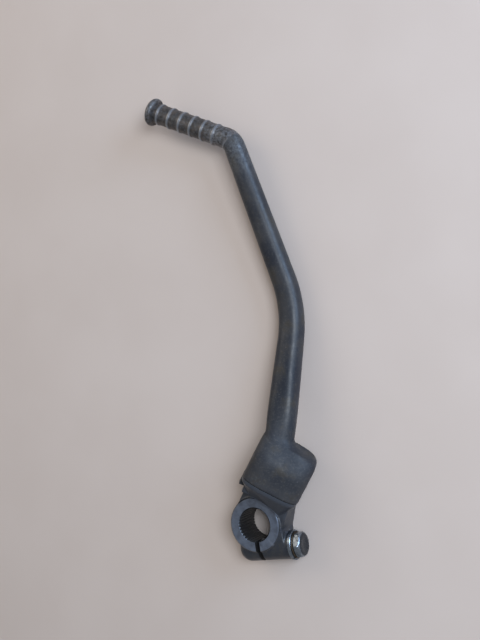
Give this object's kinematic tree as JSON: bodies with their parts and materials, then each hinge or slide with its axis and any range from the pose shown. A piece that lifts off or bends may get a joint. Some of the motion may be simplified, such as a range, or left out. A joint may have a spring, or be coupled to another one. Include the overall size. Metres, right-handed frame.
{
  "type": "kick start lever",
  "caption": "Folding motorbike kick start lever: splined clamp boss with pinch bolt, and a bent forged arm with a ribbed foot peg that swings on the boss's hinge stud.",
  "frame": {"origin": "middle of the splined bore, on its axis and halfway along it", "axes": "+Z along the bore, towards the engine side; +Y along the hinge stud, from the bore towards the arm; +X sideways, away from the peg"},
  "size_m": [0.1903, 0.1934, 0.0288],
  "materials": {
    "boss_steel": "machined steel, dulled and stained",
    "arm_black": "worn black over forged steel",
    "zinc_plate": "zinc plated",
    "dull_steel": "plain steel with some rust",
    "bright_steel": "bright hardened steel",
    "seal_rubber": "matt"
  },
  "bodies": {
    "boss": {"clamp_boss": "boss_steel", "pinch_bolt": "zinc_plate", "spring_washer": "zinc_plate", "flat_washer": "dull_steel", "seal_ring": "seal_rubber", "detent_ball": "bright_steel", "detent_spring": "bright_steel"},
    "arm": {"kick_arm": "arm_black", "retaining_pin": "dull_steel"}
  },
  "joints": [
    {"name": "fold", "type": "hinge", "parent": "boss", "child": "arm", "pos_m": [0, 0.022, 0.005], "axis": [0, -1, 0], "range_deg": [0, 95]}
  ]
}
